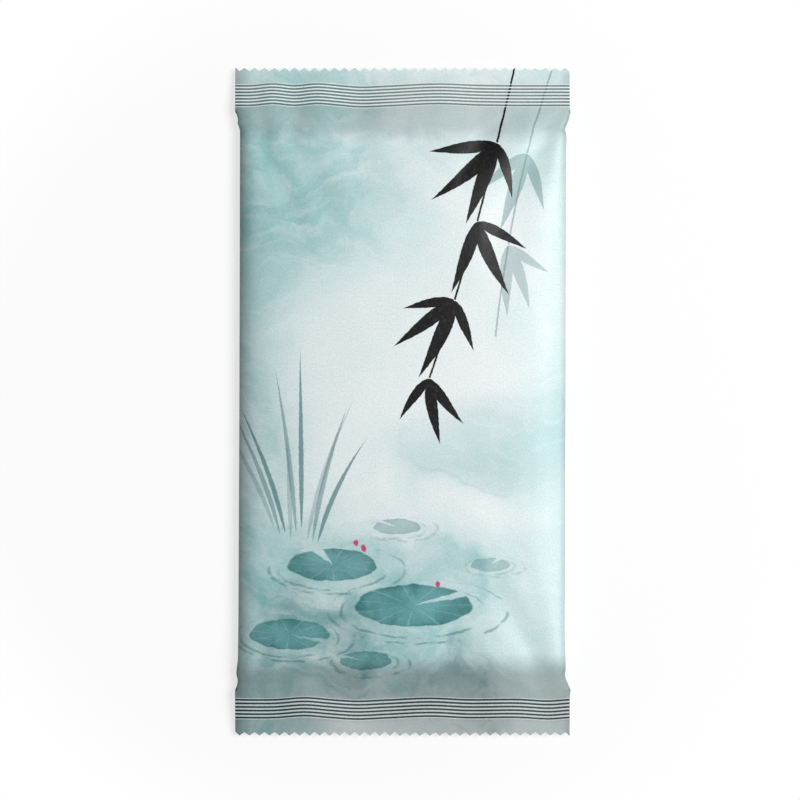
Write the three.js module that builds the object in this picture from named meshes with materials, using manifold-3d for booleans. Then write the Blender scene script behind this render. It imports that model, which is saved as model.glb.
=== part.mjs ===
// A single-wipe flow pack, lying on its back as it rests on a table.
// One printed film web is folded into a flat tube round a damp folded wipe. Its two long edges are joined
// in a fin seal that lies folded over on the back, a crimped seal closes each end, and a zig-zag knife cuts
// the pack from the next one. The sealed pack is one solid.
// Millimetres. +X is the pack's right, +Y its top end, +Z up. The origin is under the middle of the pack.

import * as THREE from "three";
import { LoftGeometry } from "three/addons/geometries/LoftGeometry.js";
import { mergeVertices } from "three/addons/utils/BufferGeometryUtils.js";
import Module from "manifold-3d";

// The film tube and what fills it
const packLength = 140; // over the tips of the cut teeth
const tubeWidth = 70; // the tube pressed flat, as it stays in the end seals
const packThickness = 7; // from the table to the crown of the front
const foldHeight = 2.6; // the side folds, above the table
const sideInset = 0.92; // how far a side fold draws in once the tube is filled
const frontFullness = 2.7; // a higher power keeps the front flat for longer before it rolls over
const backFullness = 5;
const backSlack = 0.7; // how much lower the back would hang if the table did not flatten it

// The end seals
const sealThickness = 0.3; // two plies welded together
const sealHeight = 2.3; // middle of the seal above the table, where it meets the filled tube
const sealDroop = 0.5; // how much lower its cut end hangs
const crimpSetback = 3.92; // from the tooth tips to the centre of the outermost groove
const crimpDepth = 0.3; // crest to groove of the corrugated seal
const grooveWidth = 0.42; // between the crests on both sides of a groove
const rippleHeight = 0.55; // how far the band buckles up where its lines bow out the most
const rippleReach = 9; // how far the buckles run on into the filled tube

// The zig-zag cut
const toothPitch = 2.09;
const toothDepth = 0.95;

// The fin seal on the back
const finWidth = 10;
const finThickness = 0.4;
const finGap = 0.25; // air between the folded fin and the back panel, and past its free edge
const finRoot = 0.45; // width of the bend where both web edges leave the tube
const finWeld = 0.1; // how deep the bend, and the fin in the end seals, sinks into the tube
const finRelease = 3; // how far from a seal the fin lies before it is clear of the back panel
const nestSlope = 2.5; // width of the slope where the back panel comes down again beside the fin

// One record per end seal. end is +1 at the top of the pack and -1 at the bottom.
// bows: [share of the half width, how far the crimp lines bow towards +Y there].
// corners: [distance from the innermost groove, how far the side edge draws in there].
// puckers: furrows that run from the seal into the filled tube, at a share of the half width.
const topSeal = {
  end: 1,
  grooves: 7,
  groovePitch: 0.686,
  slopeLength: 11, // from the seal to the full thickness
  bows: [[-1, 0], [-0.9, 0], [-0.78, 0.37], [-0.645, 0], [-0.52, 0.36], [-0.37, 0], [-0.265, -0.28],
    [-0.1, -0.1], [0.225, 0.34], [0.46, 0.06], [0.6, 0], [1, 0]],
  leftCorner: [[0.5, 0], [1.7, 0.31], [3, 0.69], [3.6, 0.43], [4.55, 0.91], [5.5, 1.05], [9, 1.05]],
  rightCorner: [[2, 0], [3.2, 0.29], [4.9, 1.05], [5.5, 0.88], [6.6, 0.67], [10, 0.8]],
  puckers: [
    { at: -0.83, width: 2.2, depth: 0.45, reach: 5 },
    { at: -0.64, width: 2.4, depth: 0.3, reach: 6 },
    { at: -0.26, width: 3, depth: 0.35, reach: 5 },
    { at: 0.49, width: 3, depth: 0.25, reach: 4.5 },
    { at: 0.84, width: 2, depth: 0.45, reach: 4.5 },
  ],
};
const bottomSeal = {
  end: -1,
  grooves: 6,
  groovePitch: 0.748,
  slopeLength: 14,
  bows: [[-1, 0], [-0.76, 0], [-0.58, 0.45], [-0.43, 0], [-0.28, -0.36], [-0.1, -0.08], [0.185, 0.33],
    [0.37, 0], [0.7, 0.04], [0.89, -0.3], [1, 0]],
  leftCorner: [[0, 0], [1.5, 0.1], [3.6, 0.54], [4.2, 0.59], [5.3, 0.23], [7.3, 0.44], [8.3, 0.6],
    [16, 0.71]],
  rightCorner: [[2, 0], [2.9, 0.19], [4.05, 0.73], [5, 1.05], [6.2, 0.88], [7.3, 0.88], [12.5, 1.07]],
  puckers: [
    { at: -0.86, width: 2, depth: 0.4, reach: 5 },
    { at: -0.46, width: 2.6, depth: 0.35, reach: 6 },
    { at: -0.03, width: 3, depth: 0.25, reach: 5 },
    { at: 0.31, width: 2.6, depth: 0.3, reach: 6 },
    { at: 0.8, width: 2.4, depth: 0.45, reach: 5.5 },
  ],
};
const seals = [bottomSeal, topSeal];

// How finely the surfaces are divided
const columns = 28; // across each face
const finColumns = 5;
const cornerStep = 0.62; // between sections beside a seal, where the side edges crumple
const cornerSteps = 13;
const bodyStep = 7; // the longest step between sections along the plain middle
const overcut = 1; // how far the uncut tube runs on past the tooth tips

const { lerp, smoothstep, clamp } = THREE.MathUtils;

// Distance from a seal's innermost groove, towards the middle of the pack. It is negative inside the seal.
function innerGroove(seal) {
  return packLength / 2 - crimpSetback - (seal.grooves - 1) * seal.groovePitch;
}
function intoBody(seal, y) {
  return innerGroove(seal) - seal.end * y;
}

// A smooth curve, or a string of straight lines, through [position, value] pairs.
function through(pairs, Interpolant = THREE.CubicInterpolant) {
  const curve = new Interpolant(pairs.map((p) => p[0]), pairs.map((p) => p[1]), 1);
  const [first, last] = [pairs[0][0], pairs.at(-1)[0]];
  return (position) => curve.evaluate(clamp(position, first, last))[0];
}
for (const seal of seals) seal.bowAt = through(seal.bows);

// The side edge of the whole pack, as its distance from the middle: full width in the seals, drawn in
// between them.
function sideEdge(hand) {
  const stations = seals.flatMap((seal) =>
    seal[hand].map(([distance, inset]) => [seal.end * (innerGroove(seal) - distance), inset]),
  );
  stations.push([0, sideInset]);
  const inset = through(stations.sort((a, b) => a[0] - b[0]), THREE.LinearInterpolant);
  return (y) => tubeWidth / 2 - inset(y);
}
const leftEdge = sideEdge("leftCorner");
const rightEdge = sideEdge("rightCorner");

// How far the tube has opened between a seal, 0, and the filled body, 1.
function opening(seal, y) {
  return 1 - (1 - clamp(intoBody(seal, y) / seal.slopeLength, 0, 1)) ** 2.3;
}
function openingAt(y) {
  return Math.min(...seals.map((seal) => opening(seal, y)));
}

// A seal's hold on the film at y: 1 in its crimped band, fading out into the body.
function hold(seal, y) {
  return 1 - smoothstep(intoBody(seal, y), 0, rippleReach);
}
function bow(x, y) {
  const share = x / (tubeWidth / 2);
  return seals.reduce((sum, seal) => sum + seal.bowAt(share) * hold(seal, y), 0);
}

// The furrows that the seals draw into the film beside them.
function pucker(x, y) {
  let depth = 0;
  for (const seal of seals) {
    const distance = intoBody(seal, y);
    if (distance <= 0) continue;
    for (const fold of seal.puckers) {
      const across = Math.exp(-(((x - (fold.at * tubeWidth) / 2) / fold.width) ** 2));
      const along = (distance / fold.reach) * Math.exp(1 - distance / fold.reach);
      depth += fold.depth * across * along;
    }
  }
  return depth;
}

// Height of the sheet that both faces grow from: the drooping, rippled seals and the side folds.
const mostBow = Math.max(...seals.flatMap((seal) => seal.bows.map((b) => Math.abs(b[1]))));
function middleHeight(x, y) {
  const distance = Math.min(...seals.map((seal) => intoBody(seal, y)));
  const outward = clamp(-distance / (crimpSetback + overcut), 0, 1.6);
  const flat = lerp(sealHeight - sealDroop * outward, foldHeight, smoothstep(distance, 0, rippleReach));
  return flat + (rippleHeight * bow(x, y)) / mostBow;
}

// Heights of the front and back faces. across runs from -1 at the left edge to 1 at the right one.
function frontHeight(x, y, across) {
  const fullness = Math.sqrt(1 - Math.abs(across) ** frontFullness);
  const rise = (packThickness - foldHeight - sealThickness / 2) * openingAt(y) * fullness;
  return middleHeight(x, y) + sealThickness / 2 + rise - pucker(x, y) * fullness;
}
function backHeight(x, y, across) {
  const fullness = Math.sqrt(1 - Math.abs(across) ** backFullness);
  const drop = (foldHeight + backSlack) * openingAt(y) * fullness;
  return Math.max(0, middleHeight(x, y) - sealThickness / 2 - drop + (pucker(x, y) * fullness) / 2);
}

// The sections of the loft: where each lies along the pack, and how far the crimp lifts it.
function crimpStations(seal) {
  const stations = [];
  for (let i = 0; i < seal.grooves; i++) {
    const centre = innerGroove(seal) + i * seal.groovePitch;
    stations.push([centre - grooveWidth / 2, crimpDepth / 2], [centre, -crimpDepth / 2]);
    stations.push([centre + grooveWidth / 2, crimpDepth / 2]);
  }
  const plain = seal.groovePitch / 2;
  stations.unshift([stations[0][0] - plain / 2, 0]);
  stations.push([stations.at(-1)[0] + plain, 0]);
  return stations.map(([distance, lift]) => ({ y: seal.end * distance, lift }));
}
function bodyStations() {
  const [low, high] = [-innerGroove(bottomSeal), innerGroove(topSeal)];
  const stations = [];
  for (let i = 1; i <= cornerSteps; i++) {
    stations.push({ y: low + i * cornerStep, lift: 0 }, { y: high - i * cornerStep, lift: 0 });
  }
  const [from, to] = [low + cornerSteps * cornerStep, high - cornerSteps * cornerStep];
  const count = Math.ceil((to - from) / bodyStep);
  for (let i = 1; i < count; i++) stations.push({ y: lerp(from, to, i / count), lift: 0 });
  return stations;
}
const uncut = packLength / 2 + overcut;
const stations = [
  { y: -uncut, lift: 0 }, ...crimpStations(bottomSeal), ...bodyStations(), ...crimpStations(topSeal),
  { y: uncut, lift: 0 },
].sort((a, b) => a.y - b.y);

// Where a column lies at y. Columns are even in the flat seals and crowd towards the round side folds.
function acrossAt(column, y) {
  const even = (2 * column) / columns - 1;
  return lerp(even, Math.sin((even * Math.PI) / 2), 0.6 * openingAt(y));
}
function place(across, y) {
  return across < 0 ? across * leftEdge(y) : across * rightEdge(y);
}

// One closed section: over the front from left to right, and back under the tube.
function tubeSection({ y, lift }) {
  const front = [];
  const back = [];
  for (let column = 0; column <= columns; column++) {
    const across = acrossAt(column, y);
    const x = place(across, y);
    const bowed = y + bow(x, y);
    front.push(new THREE.Vector3(x, bowed, frontHeight(x, y, across) + lift));
    back.unshift(new THREE.Vector3(x, bowed, backHeight(x, y, across) + lift));
  }
  return [...front, ...back];
}

// The back face where the fin lies: no lower than the nest that the soft back panel leaves for it.
function nestHeight(x, { y, lift }) {
  const edge = x < 0 ? leftEdge(y) : rightEdge(y);
  return Math.max(backHeight(x, y, x / edge) + lift, finThickness + finGap);
}

// One section of the fin: down the bend from the tube, out along the flap's inside and back outside.
function finSection(station) {
  const distance = Math.min(...seals.map((seal) => intoBody(seal, station.y)));
  const gap = lerp(-finWeld / 2, finGap, smoothstep(distance, 0, finRelease));
  const inside = [];
  const outside = [];
  for (let column = 0; column <= finColumns; column++) {
    const x = (finWidth * column) / finColumns;
    const y = station.y + bow(x, station.y);
    const height = nestHeight(x, station) - gap;
    inside.push(new THREE.Vector3(x, y, height));
    outside.unshift(new THREE.Vector3(x, y, height - finThickness));
  }
  const [left, root] = [-finRoot, inside[0]];
  const weld = nestHeight(0, station) + finWeld;
  return [
    new THREE.Vector3(left, root.y, weld),
    new THREE.Vector3(0, root.y, weld),
    ...inside,
    ...outside,
    new THREE.Vector3(left, root.y, outside.at(-1).z),
  ];
}

// The back panel's nest for the fin, as a bar that is cut out of the tube's underside.
function finNest() {
  const top = finThickness + finGap;
  const side = finWidth + finGap;
  const outline = new THREE.Shape([
    new THREE.Vector2(0, -overcut), new THREE.Vector2(side + nestSlope, -overcut),
    new THREE.Vector2(side + nestSlope, 0), new THREE.Vector2(side, top), new THREE.Vector2(0, top),
  ]);
  const bar = new THREE.ExtrudeGeometry(outline, { depth: packLength, bevelEnabled: false });
  return bar.rotateX(Math.PI / 2).translate(0, packLength / 2, 0);
}

// The knife takes off what lies beyond a zig-zag line. Both ends get the same line, so the teeth of one
// end would fit the gaps of the next pack's other end.
function knife(seal) {
  const bite = [];
  const steps = 2 * Math.ceil(tubeWidth / toothPitch) + 4;
  for (let i = -2; i <= steps; i++) {
    const rise = i % 2 === 0 ? toothDepth : 0;
    const line = seal.end > 0 ? packLength / 2 - toothDepth + rise : -packLength / 2 + rise;
    bite.push(new THREE.Vector2(-tubeWidth / 2 + (i * toothPitch) / 2, line));
  }
  const beyond = seal.end * (uncut + overcut);
  bite.push(new THREE.Vector2(bite.at(-1).x, beyond), new THREE.Vector2(bite[0].x, beyond));
  const outline = new THREE.Shape(bite);
  const blade = new THREE.ExtrudeGeometry(outline, { depth: 2 * packThickness, bevelEnabled: false });
  return blade.translate(0, 0, -packThickness / 2);
}

// Joining and cutting
const wasm = await Module();
wasm.setup();

function solid(shape) {
  const skin = new THREE.BufferGeometry();
  skin.setAttribute("position", shape.getAttribute("position"));
  skin.setIndex(shape.getIndex());
  const { index, attributes } = mergeVertices(skin, 1e-4);
  const mesh = new wasm.Mesh({
    numProp: 3, vertProperties: attributes.position.array, triVerts: new Uint32Array(index.array),
  });
  return new wasm.Manifold(mesh);
}
function geometryOf(manifold) {
  const { vertProperties, triVerts } = manifold.getMesh();
  const geometry = new THREE.BufferGeometry();
  geometry.setAttribute("position", new THREE.BufferAttribute(vertProperties, 3));
  geometry.setIndex(new THREE.BufferAttribute(triVerts, 1));
  geometry.computeVertexNormals();
  return geometry;
}

const capped = { capStart: true, capEnd: true };
const tube = solid(new LoftGeometry(stations.map(tubeSection), capped));
const fin = solid(new LoftGeometry(stations.map(finSection), capped));
let sachet = tube.subtract(solid(finNest())).add(fin);
for (const seal of seals) sachet = sachet.subtract(solid(knife(seal)));

const printedFilm = new THREE.MeshStandardMaterial({ color: 0xcfe0e0, roughness: 0.45, metalness: 0 });
const wipeSachet = new THREE.Mesh(geometryOf(sachet), printedFilm);
wipeSachet.name = "wipe_sachet";

const part = new THREE.Group();
part.add(wipeSachet);

export default part;
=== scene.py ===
# %% [markdown]
# # A single-wipe flow pack, dressed in Blender
# The pack is one web of printed film. A machine folds it into a tube round a damp folded wipe, welds its
# two long edges into a fin on the back, presses a ribbed seal across each end and cuts the packs apart
# with a zig-zag knife. It could be modelled as a smooth pillow with the marks painted on, but light shows
# folds and teeth only where there is form. So this script follows the machine: it lays out the flat web,
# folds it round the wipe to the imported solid's size, lets the film find its own creases, and prints it.

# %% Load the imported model
import math
import random

import bmesh
import bpy
import numpy as np
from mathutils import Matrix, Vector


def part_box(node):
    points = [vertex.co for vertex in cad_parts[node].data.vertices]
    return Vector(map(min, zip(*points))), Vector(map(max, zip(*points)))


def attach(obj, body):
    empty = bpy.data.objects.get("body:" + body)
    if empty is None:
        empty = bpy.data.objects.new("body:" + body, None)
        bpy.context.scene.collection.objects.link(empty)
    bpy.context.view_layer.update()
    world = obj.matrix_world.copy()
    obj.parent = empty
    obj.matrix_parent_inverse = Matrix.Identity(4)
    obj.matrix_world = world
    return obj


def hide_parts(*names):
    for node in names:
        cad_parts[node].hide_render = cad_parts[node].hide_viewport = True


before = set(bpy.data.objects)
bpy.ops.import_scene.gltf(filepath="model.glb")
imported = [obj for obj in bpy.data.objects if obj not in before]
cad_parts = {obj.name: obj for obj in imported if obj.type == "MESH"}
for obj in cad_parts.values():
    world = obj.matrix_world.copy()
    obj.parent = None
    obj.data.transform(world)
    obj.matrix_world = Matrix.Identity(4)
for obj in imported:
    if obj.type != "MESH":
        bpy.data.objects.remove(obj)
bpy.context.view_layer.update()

# %% [markdown]
# ## The sizes
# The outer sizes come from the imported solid, so the film can't drift away from it. The rest are the
# film's own sizes, in millimetres: how the jaws crimp it, how the knife cuts it and how far the film
# draws in where the tube is filled. `MM` turns them into metres when a point is placed, and the print is
# measured in centimetres, ten millimetres each.

# %% Sizes
MM = 0.001
MM_IN_CM = 10
SOLID = "wipe_sachet"
low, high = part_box(SOLID)
tube_width = (high.x - low.x) / MM
pack_length = (high.y - low.y) / MM
crown_height = high.z / MM
slack_crown = 5.6

teeth_across = 33.5
tooth_depth = 0.95
fold_height = 2.6
side_inset = 0.92
front_fullness = 2.7
back_fullness = 5.0
back_slack = 0.7

seal_thickness = 0.3
seal_height = 2.3
seal_droop = 0.5
crimp_setback = 3.92
crimp_depth = 0.34
groove_width = 0.42
ripple_height = 0.55
ripple_reach = 9.0
largest_bow = 0.45

fin_thickness = 0.4
fin_gap = 0.25
sealed_fin_thickness = 0.25
sealed_fin_gap = 0.02
fin_release = 3.0
nest_slope = 2.5
print("pack:", round(tube_width, 2), "by", round(pack_length, 2), "by", round(crown_height, 2), "mm")

# %% [markdown]
# ## The two end seals
# Each seal has its own number of crimp lines and its own small faults, and these make a pressed pack look
# real: the lines bow where the film was gathered, and the side edges crumple where the flat seal meets
# the round tube. A random wave would give lines and edges that no jaws and no hand made, so each seal is
# a record of what is seen on it. Bows are pairs of (share of the half width, bow), and the two sides are
# pairs of (distance from the innermost line, inset). A pucker is (share of the half width, width, depth,
# reach). The painted shade beside each seal is (reach in centimetres, strength beside the seal, strength
# in it), and the crimp lines get (painted shade in the grooves, painted highlight on the ridges). The
# bottom seal, which turns away from the lamp, gets more painted shade and less painted highlight.

# %% Seal records
top_seal = {
    "end": 1,
    "grooves": 7,
    "pitch": 0.686,
    "slope": 11.0,
    # Painted shade beside the seal, and painted shade and highlight on its crimp lines:
    "painted_shade": (0.85, 0.5, 0.03),
    "lines": (0.77, 0.9),
    "bows": [(-1, 0), (-0.9, 0), (-0.78, 0.37), (-0.645, 0), (-0.52, 0.36), (-0.37, 0), (-0.265, -0.28),
             (-0.1, -0.1), (0.225, 0.34), (0.46, 0.06), (0.6, 0), (1, 0)],
    "left": [(0.5, 0), (1.7, 0.31), (3, 0.69), (3.6, 0.43), (4.55, 0.91), (5.5, 1.05), (9, 1.05)],
    "right": [(2, 0), (3.2, 0.29), (4.9, 1.05), (5.5, 0.88), (6.6, 0.67), (10, 0.8)],
    "puckers": [(-0.83, 2.2, 0.45, 5), (-0.64, 2.4, 0.3, 6), (-0.26, 3, 0.35, 5), (0.49, 3, 0.25, 4.5),
                (0.84, 2, 0.45, 4.5)],
}
bottom_seal = {
    "end": -1,
    "grooves": 6,
    "pitch": 0.748,
    "slope": 14.0,
    # Painted shade beside the seal, and painted shade and highlight on its crimp lines:
    "painted_shade": (1.0, 0.88, 0.8),
    "lines": (1.0, 0.55),
    "bows": [(-1, 0), (-0.76, 0), (-0.58, 0.45), (-0.43, 0), (-0.28, -0.36), (-0.1, -0.08), (0.185, 0.33),
             (0.37, 0), (0.7, 0.04), (0.89, -0.3), (1, 0)],
    "left": [(0, 0), (1.5, 0.1), (3.6, 0.54), (4.2, 0.59), (5.3, 0.23), (7.3, 0.44), (8.3, 0.6),
             (16, 0.71)],
    "right": [(2, 0), (2.9, 0.19), (4.05, 0.73), (5, 1.05), (6.2, 0.88), (7.3, 0.88), (12.5, 1.07)],
    "puckers": [(-0.86, 2, 0.4, 5), (-0.46, 2.6, 0.35, 6), (-0.03, 3, 0.25, 5), (0.31, 2.6, 0.3, 6),
                (0.8, 2.4, 0.45, 5.5)],
}
seals = [bottom_seal, top_seal]
for seal in seals:
    seal["inner"] = pack_length / 2 - crimp_setback - (seal["grooves"] - 1) * seal["pitch"]
print("innermost crimp lines at", [round(seal["end"] * seal["inner"], 2) for seal in seals])

# %% [markdown]
# ## The flat web, marked out in columns and rows
# A column is half a tooth wide, so that every tooth tip and every notch falls on a column. Reading along
# the web: the fin's outer ply, the left half of the back, the front, the right half of the back, and the
# fin's inner ply. Rows run across the pack: three to a crimp line, close ones where the corners crumple,
# and wider ones along the plain middle.

# %% Columns and rows of the web
front_columns = round(2 * teeth_across)
left_columns = front_columns // 2
right_columns = front_columns - left_columns
fin_columns = 10
column = tube_width / front_columns
parts = np.cumsum([0, fin_columns, left_columns, front_columns, right_columns, fin_columns])
panels = [np.arange(start, end + 1) for start, end in zip(parts, parts[1:])]
fin_outer, left_back, front, right_back, fin_inner = panels
across = (np.arange(parts[-1] + 1) - front.mean()) * column
fin_root = -tube_width / 2 + left_columns * column

seal_foot = 0.6
corner_step = 0.62
corner_rows = 14
body_step = 1.62
ridge_foot = 0.3
plain_strip = 1.05
cut_margin = 0.25


def crimp_rows(seal):
    """Rows of one seal from the inside outwards, each with its place and how far its film is lifted."""
    half = groove_width / 2
    rows = [(seal["inner"] - seal["pitch"] / 2 - half / 2, 0.0)]
    for groove in range(seal["grooves"]):
        centre = seal["inner"] + groove * seal["pitch"]
        rows += [(centre - half, crimp_depth / 2), (centre, -crimp_depth / 2)]
        rows += [(centre + half, crimp_depth / 2)]
    last = rows[-1][0]
    plain = last + plain_strip
    cut = pack_length / 2 - tooth_depth
    rows += [(last + ridge_foot, 0.0), (plain, 0.0), ((plain + cut) / 2, 0.0), (cut - cut_margin, 0.0)]
    rows += [(pack_length / 2 - tooth_depth / 2, 0.0)]
    return [(seal["end"] * y, lift) for y, lift in rows]


low_end, high_end = -bottom_seal["inner"] + seal_foot, top_seal["inner"] - seal_foot
rows = crimp_rows(bottom_seal) + crimp_rows(top_seal)
for step in range(1, corner_rows + 1):
    rows += [(low_end + step * corner_step, 0.0), (high_end - step * corner_step, 0.0)]
middle = (low_end + corner_rows * corner_step, high_end - corner_rows * corner_step)
middle_rows = math.ceil((middle[1] - middle[0]) / body_step)
rows += [(y, 0.0) for y in np.linspace(*middle, middle_rows + 1)[1:-1]]
along, lift = np.array(sorted(rows)).T
print("web:", len(across), "columns by", len(along), "rows")

# %% [markdown]
# ## Folding the web round the wipe
# Every row of the web is one section of the tube. The seals are flat, and between them the film rises
# over the wipe to the crown and comes down to rest on the table, with side folds at about a third of the
# height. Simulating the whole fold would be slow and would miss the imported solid, so each section is a
# formula. The points of a row are spread evenly by length along its outline, because film bends but can't
# stretch. The crown starts low, because the simulation that follows puffs it up.

# %% How far the tube opens
start_crown = slack_crown
opening_power = 2.3
print("crown before the simulation:", start_crown, "mm")


def smooth(value, start, end):
    share = np.clip((value - start) / (end - start), 0, 1)
    return share * share * (3 - 2 * share)


def into_body(seal, y):
    """Distance from the seal's innermost crimp line towards the middle of the pack."""
    return seal["inner"] - seal["end"] * y


def opening(y):
    """How far the tube has opened at y: 0 in a seal, 1 where it is full."""
    return min(1 - (1 - np.clip(into_body(s, y) / s["slope"], 0, 1)) ** opening_power for s in seals)


# %% Bows, side edges and puckers
bow_fade = crimp_setback * 1.9


def curve_through(stations, at):
    """A smooth curve through pairs of [place, value], level at both ends."""
    places, values = np.array(stations, dtype=float).T
    slopes = np.gradient(values, places)
    slopes[[0, -1]] = 0
    start = np.clip(np.searchsorted(places, at) - 1, 0, len(places) - 2)
    length = places[start + 1] - places[start]
    share = np.clip((at - places[start]) / length, 0, 1)
    blend = share * share * (3 - 2 * share)
    leaving = share * (1 - share) ** 2 * length * slopes[start]
    arriving = share * share * (share - 1) * length * slopes[start + 1]
    return values[start] + (values[start + 1] - values[start]) * blend + leaving + arriving


def bow(x, y):
    """How far the crimp lines at y are bowed along the pack."""
    total = 0.0
    for seal in seals:
        bowed = curve_through(seal["bows"], x / (tube_width / 2))
        crimped = (seal["grooves"] - 1) * seal["pitch"]
        fade_in = 1 - smooth(into_body(seal, y), 0, ripple_reach)
        fade_out = 1 - smooth(-into_body(seal, y), crimped, bow_fade)
        total = total + bowed * fade_in * fade_out
    return total


def side_edge(y, hand):
    """The half width at y, on the left or the right hand."""
    stations = [(0.0, side_inset)]
    stations += [(s["end"] * (s["inner"] - distance), inset) for s in seals for distance, inset in s[hand]]
    places, insets = np.array(sorted(stations)).T
    return tube_width / 2 - np.interp(y, places, insets)


def pucker(x, y):
    """How deep the puckers that run in from the seals press the film."""
    depth = 0.0
    for seal in seals:
        distance = max(into_body(seal, y), 0.0)
        for at, width, deep, reach in seal["puckers"]:
            share = np.exp(-(((x - at * tube_width / 2) / width) ** 2))
            depth = depth + deep * share * (distance / reach) * math.exp(1 - distance / reach)
    return depth


# %% Heights of a section
droop_limit = 1.8


def middle_height(x, y):
    """The height of the side folds and of the middle of the seals."""
    distance = min(into_body(seal, y) for seal in seals)
    outward = np.clip(-distance / crimp_setback, 0, droop_limit)
    flat = seal_height - seal_droop * outward
    flat += (fold_height - flat) * smooth(distance, 0, ripple_reach)
    return flat + ripple_height * bow(x, y) / largest_bow


def front_height(x, y, share):
    fullness = np.sqrt(1 - share**front_fullness)
    rise = (start_crown - fold_height - seal_thickness / 2) * opening(y) * fullness
    return middle_height(x, y) + seal_thickness / 2 + rise - pucker(x, y) * fullness


def back_height(x, y, share):
    fullness = np.sqrt(1 - share**back_fullness)
    drop = (fold_height + back_slack) * opening(y) * fullness
    return np.maximum(0, middle_height(x, y) - seal_thickness / 2 - drop + pucker(x, y) * fullness / 2)


# %% Outline of a section
outline_points = 601


def nest(x, height):
    """The back panel lifted over the folded fin, with a slope beside it."""
    side = fin_columns * column + fin_root + fin_gap
    top = (fin_thickness + fin_gap) * (1 - smooth(x, side, side + nest_slope))
    return np.maximum(height, top)


def spread(x, z, count):
    """count + 1 points, evenly spaced by length along the line through x and z."""
    length = np.concatenate([[0], np.cumsum(np.hypot(np.diff(x), np.diff(z)))])
    at = np.linspace(0, length[-1], count + 1)
    return np.interp(at, length, x), np.interp(at, length, z)


def section(y):
    """x and z of all columns at one row, in the web's order."""
    share = np.sin(np.linspace(-1, 1, outline_points) * math.pi / 2)
    edge = np.where(share < 0, side_edge(y, "left"), side_edge(y, "right"))
    x = share * edge
    fold = middle_height(x, y)
    over = front_height(x, y, abs(share))
    under = back_height(x, y, abs(share))
    for line in (over, under):
        line[[0, -1]] = fold[[0, -1]]
    left = x <= fin_root
    right = ~left
    left_x, left_z = spread(x[left][::-1], under[left][::-1], left_columns)
    front_x, front_z = spread(x, over, front_columns)
    right_x, right_z = spread(x[right][::-1], nest(x, under)[right][::-1], right_columns)
    fin_x = fin_root + np.arange(fin_columns + 1) * column
    clear = smooth(min(into_body(seal, y) for seal in seals), 0, fin_release)
    gap = sealed_fin_gap + (fin_gap - sealed_fin_gap) * clear
    inner = nest(fin_x, np.interp(fin_x, x, under)) - gap
    outer = inner - (sealed_fin_thickness + (fin_thickness - sealed_fin_thickness) * clear)
    left_x[0] = right_x[-1] = fin_root
    xs = [fin_x[::-1], left_x[1:], front_x[1:], right_x[1:], fin_x[1:]]
    zs = [outer[::-1], left_z[1:], front_z[1:], right_z[1:], inner[1:]]
    return np.concatenate(xs), np.concatenate(zs)


# %% Fold the web
folded = np.zeros((len(along), len(across), 3))
for row, (y, raised) in enumerate(zip(along, lift)):
    x, z = section(y)
    folded[row] = np.stack([x, y + bow(x, y), z + raised], axis=1)
print("folded", len(along), "sections")

# %% [markdown]
# The corners crumple only at the sides. A row that took its whole spacing from its crumpled sides would
# jog beside its neighbours, and so would the print on it. So the places across the front are evened out
# from row to row, and only the points near the sides keep the jog.

# %% Even out the front
even_reach = 5.0
crumple_power = 6
near = np.exp(-(((along[:, None] - along) / even_reach) ** 2)) * np.gradient(along)
near /= near.sum(axis=1, keepdims=True)
evened = near @ folded[:, front, 0]
at_side = abs(np.linspace(-1, 1, len(front))) ** crumple_power
jogs = folded[:, front, 0] - evened
folded[:, front, 0] = evened + jogs * at_side
print("largest jog:", round(float(abs(jogs).max()), 2), "mm")

# %% [markdown]
# The knife cuts across the sealed tube, so the front and the back have the same teeth. They could be cut
# out of the finished mesh, but the first and the last row have a point at each tip and notch already, and
# these only need to be moved along the pack.

# %% Cut the teeth
tooth = np.abs((folded[0, :, 0] / column + front_columns / 2) % 2 - 1) - 0.5
for row in (0, -1):
    folded[row, :, 1] = along[row] + tooth * tooth_depth
print("folded web spans", np.round(np.ptp(folded, axis=(0, 1)), 2))

# %% [markdown]
# ## The web as a grid
# Both the simulation and the finished film start as the same flat grid, one vertex for each column and
# row, whose points are then moved to where the machine has folded them.

# %% A grid of the web
columns_count, rows_count = len(across) - 1, len(along) - 1
loose_from = 0.5
loose = np.array([smooth(opening(y), 0, loose_from) for y in along])


def web_grid(places):
    grid = bmesh.new()
    bmesh.ops.create_grid(grid, x_segments=columns_count, y_segments=rows_count, size=1)
    for vert, place in zip(grid.verts, places.reshape(-1, 3)):
        vert.co = place
    grid.verts.ensure_lookup_table()
    return grid


def new_object(name, data):
    made = bpy.data.objects.new(name, data)
    bpy.context.scene.collection.objects.link(made)
    return made


def mesh_object(name, grid):
    """An object whose mesh is made from a bmesh, which is freed."""
    mesh = bpy.data.meshes.new(name)
    grid.to_mesh(mesh)
    grid.free()
    return new_object(name, mesh)


# %% [markdown]
# ## Letting the film find its creases
# The flat seals hold the film wide and the filled tube draws it in, so the spare width between them goes
# into soft creases that run from the corners. Creases drawn by hand rarely add up to film that fits its
# own length, so a short cloth simulation finds them. The flat web is a shape key from which the cloth
# takes its rest lengths. The seals, the fin and the part of the back that rests on the table are pinned,
# and a little air pressure lifts the rest.

# %% What the simulation works with
CLOTH_UNIT = 0.01
cloth_frames = 15
front_hold = 0.02
free_columns = 2
resting_half_width = 27.0
resting_height = 0.7
seal_margin = 0.4
film_cloth = {
    "quality": 6,
    "mass": 0.1,
    "air_damping": 1,
    "tension_stiffness": 40,
    "compression_stiffness": 40,
    "shear_stiffness": 10,
    "bending_stiffness": 0.5,
    "tension_damping": 10,
    "compression_damping": 10,
    "shear_damping": 10,
    "bending_damping": 0.5,
    "use_pressure": True,
    "uniform_pressure_force": 0.3,
    "pressure_factor": 1,
    "pin_stiffness": 1,
}
print("cloth frames:", cloth_frames)


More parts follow.
